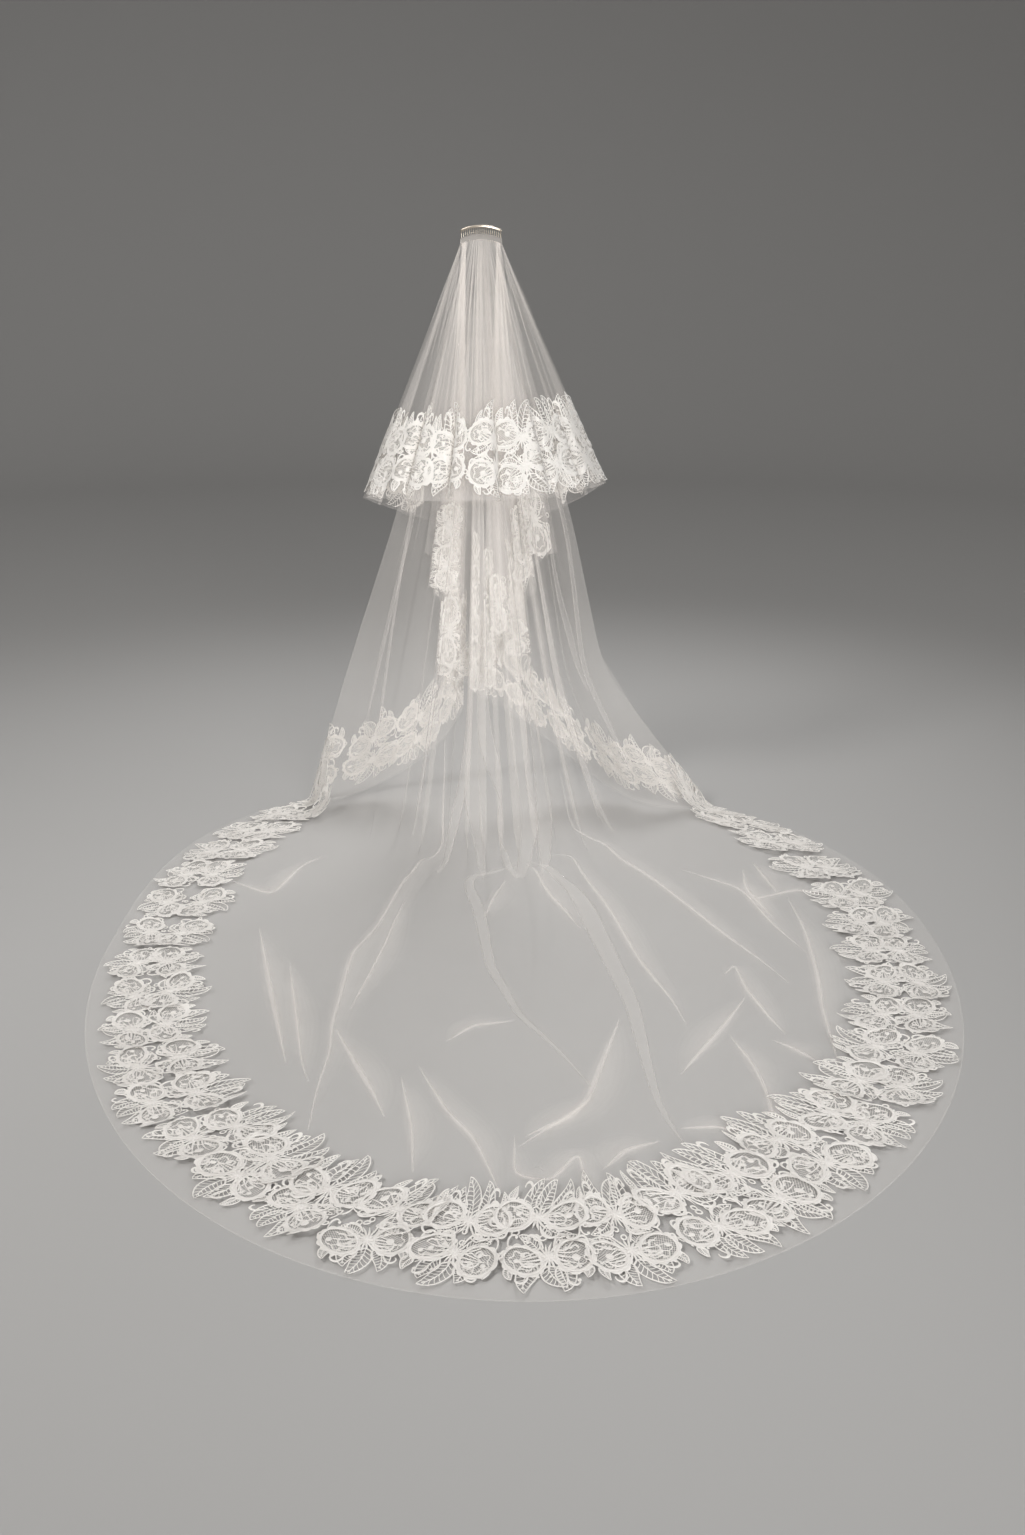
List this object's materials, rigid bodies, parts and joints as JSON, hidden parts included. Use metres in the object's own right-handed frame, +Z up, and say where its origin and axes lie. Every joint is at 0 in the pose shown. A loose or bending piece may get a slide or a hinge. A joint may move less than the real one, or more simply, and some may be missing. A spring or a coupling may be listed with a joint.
{
  "type": "tiered bridal veil with comb",
  "caption": "Tiered tulle veil gathered on a hair comb, with lace along every hem, cascading edges and a long train spread on the floor.",
  "frame": {"origin": "middle of the comb's spine, where the veil is pinned on, 1.5 m above the floor", "axes": "+Z up; -Y the way the train runs out on the floor; +X to the right when the train side is looked at, with the comb's teeth pointing down"},
  "size_m": [1.8155, 2.3504, 1.503],
  "materials": {
    "tulle": "sheer ivory net, matt",
    "lace": "corded ivory lace, matt",
    "comb_metal": "warm champagne-silver, softly polished"
  },
  "bodies": {
    "root": {"comb": "comb_metal", "gathered_header": "tulle", "left_arch_lace_01": "lace", "left_arch_lace_02": "lace", "left_cascade_lace_01": "lace", "left_cascade_lace_02": "lace", "left_end_lace_01": "lace", "left_end_lace_02": "lace", "long_tier_tulle": "tulle", "right_arch_lace_01": "lace", "right_arch_lace_02": "lace", "right_cascade_lace_01": "lace", "right_cascade_lace_02": "lace", "right_end_lace_01": "lace", "right_end_lace_02": "lace", "short_tier_lace_01": "lace", "short_tier_lace_02": "lace", "short_tier_lace_03": "lace", "short_tier_lace_04": "lace", "short_tier_lace_05": "lace", "short_tier_lace_06": "lace", "short_tier_tulle": "tulle", "train_lace_01": "lace", "train_lace_02": "lace", "train_lace_03": "lace", "train_lace_04": "lace", "train_lace_05": "lace", "train_lace_06": "lace", "train_lace_07": "lace", "train_lace_08": "lace", "train_lace_09": "lace", "train_lace_10": "lace", "train_lace_11": "lace", "train_lace_12": "lace", "train_lace_13": "lace", "train_lace_14": "lace", "train_lace_15": "lace", "train_lace_16": "lace", "train_lace_17": "lace", "train_lace_18": "lace", "train_lace_19": "lace"}
  },
  "joints": []
}
